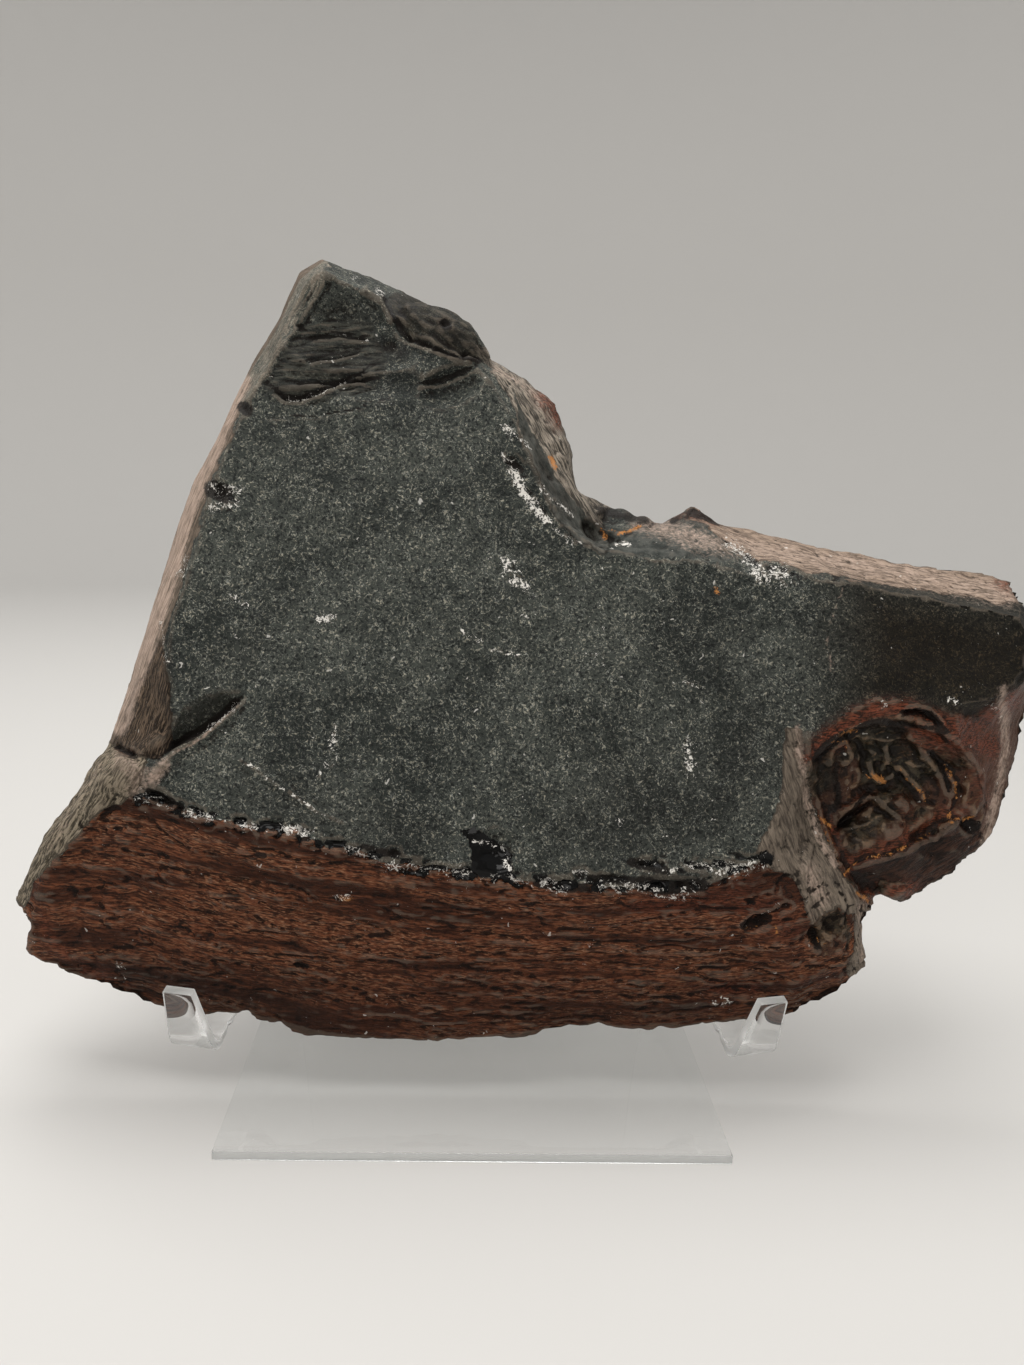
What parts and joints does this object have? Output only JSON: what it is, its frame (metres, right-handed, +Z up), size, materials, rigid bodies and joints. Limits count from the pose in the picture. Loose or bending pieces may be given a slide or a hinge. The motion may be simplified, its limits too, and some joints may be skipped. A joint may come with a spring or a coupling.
{
  "type": "velvet obsidian",
  "caption": "Rough slab of velvet obsidian with a fibrous brown band, held upright by a bent clear acrylic stand.",
  "frame": {"origin": "middle of the stand's base plate, on its underside, which rests on the floor", "axes": "+Z up, +X to the viewer's right along the stone's longest side, +Y away from the viewer, so the stone's main face looks towards -Y and leans back"},
  "size_m": [0.2763, 0.1014, 0.2212],
  "materials": {
    "stone": "matte",
    "clear_acrylic": "gloss"
  },
  "bodies": {
    "root": {"stone": "stone", "acrylic_stand": "clear_acrylic"}
  },
  "joints": []
}
